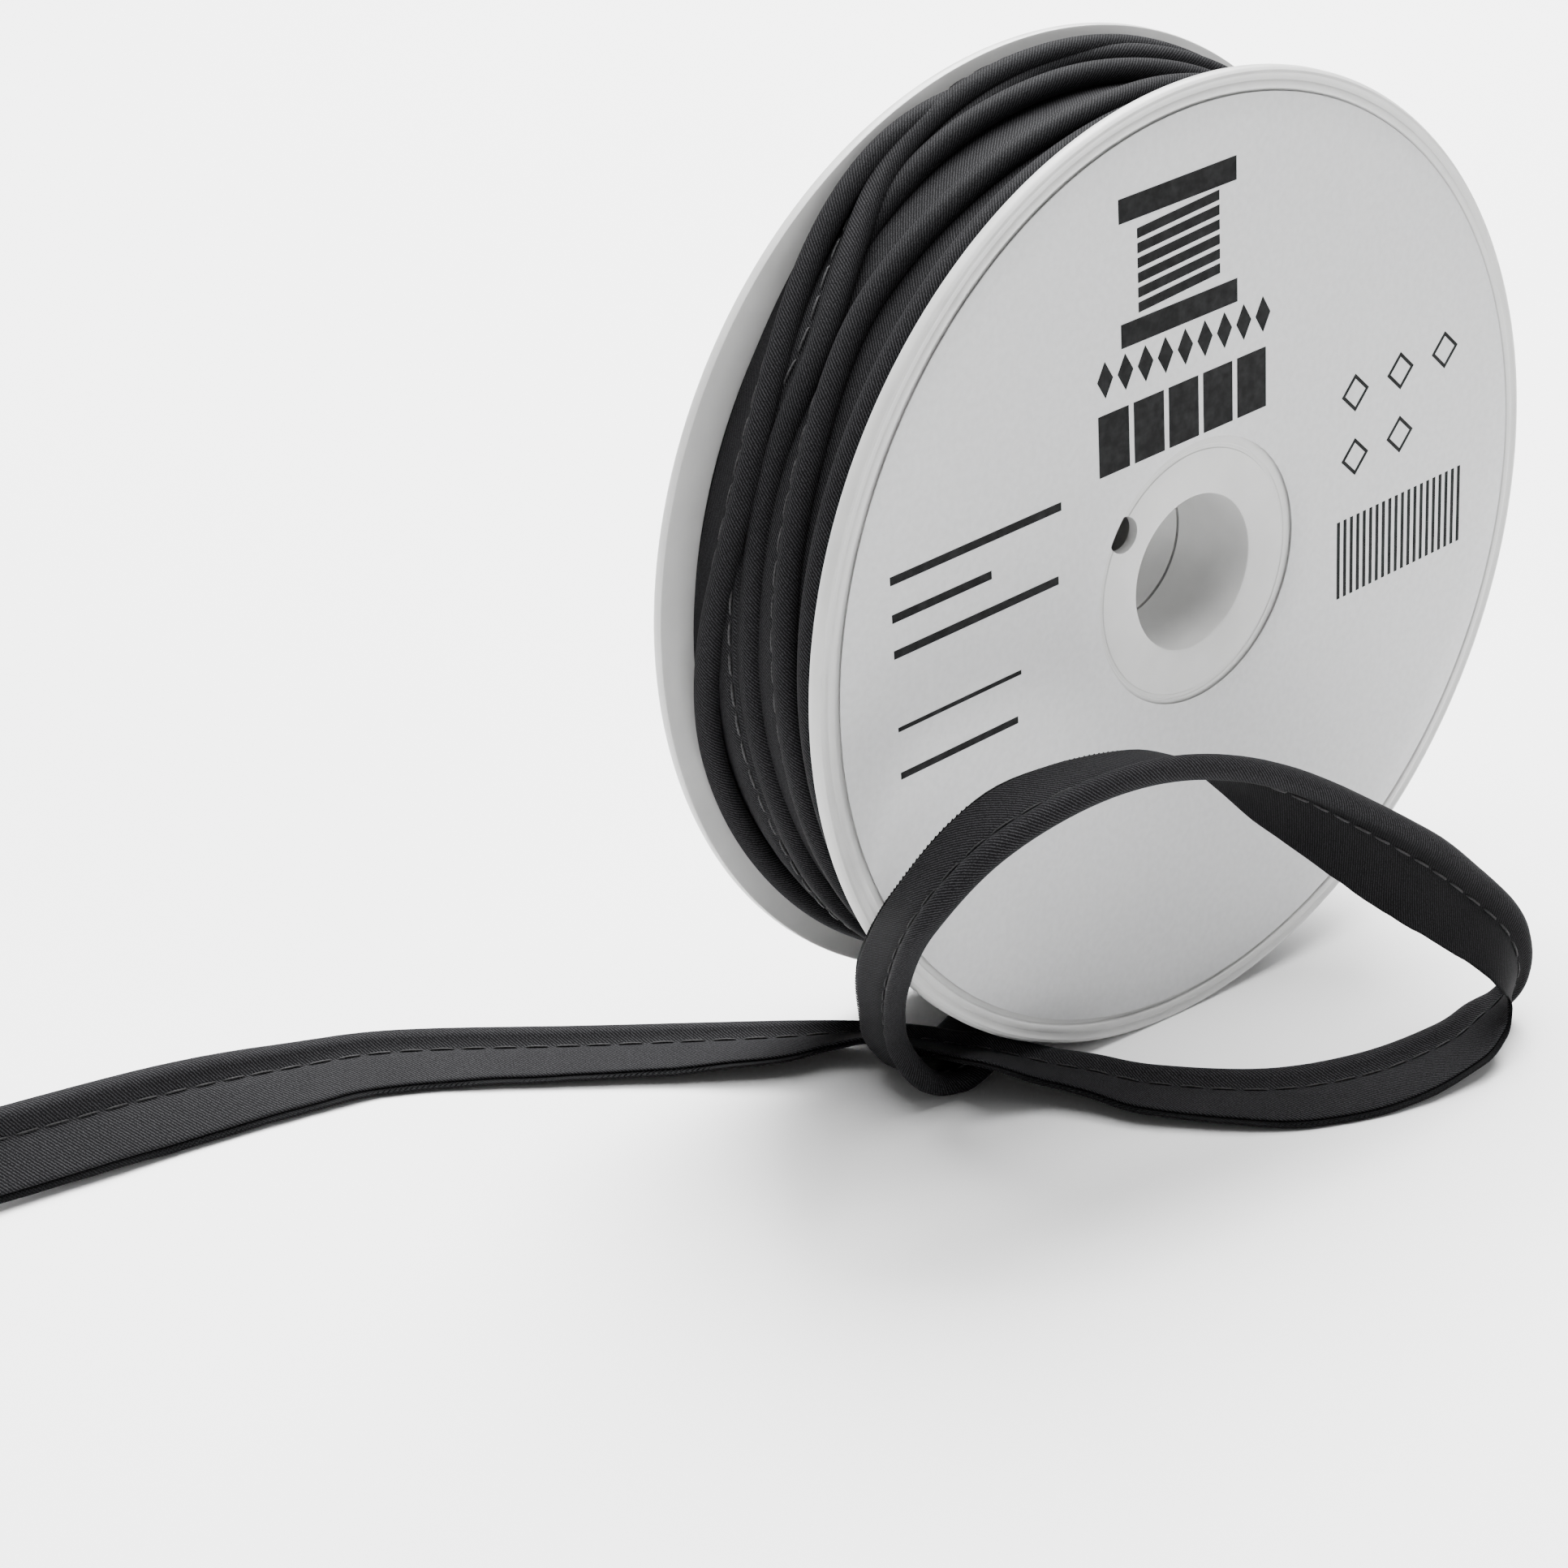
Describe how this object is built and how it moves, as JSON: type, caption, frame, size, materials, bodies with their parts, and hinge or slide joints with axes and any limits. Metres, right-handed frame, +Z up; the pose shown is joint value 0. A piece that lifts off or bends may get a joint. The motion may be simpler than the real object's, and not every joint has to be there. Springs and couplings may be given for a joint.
{
  "type": "roll of piping trim on a flanged spool",
  "caption": "Dark corded piping trim wound on a white flanged plastic spool with a paper label disc, its free end standing in a loop in front of the flange.",
  "frame": {"origin": "on the surface the roll stands on, under the middle of the spool", "axes": "+Z up, +Y along the spool's axis from the labelled flange towards the plain one, +X to the right as seen from the labelled side"},
  "size_m": [0.2569, 0.1256, 0.1496],
  "materials": {
    "spool_plastic": "smooth moulded white plastic",
    "label_paper": "light grey coated paper",
    "trim_cloth": "dark charcoal twill with a soft sheen"
  },
  "bodies": {
    "root": {"spool_front": "spool_plastic", "spool_back": "spool_plastic", "label": "label_paper", "winding": "trim_cloth", "loose_end": "trim_cloth"}
  },
  "joints": []
}
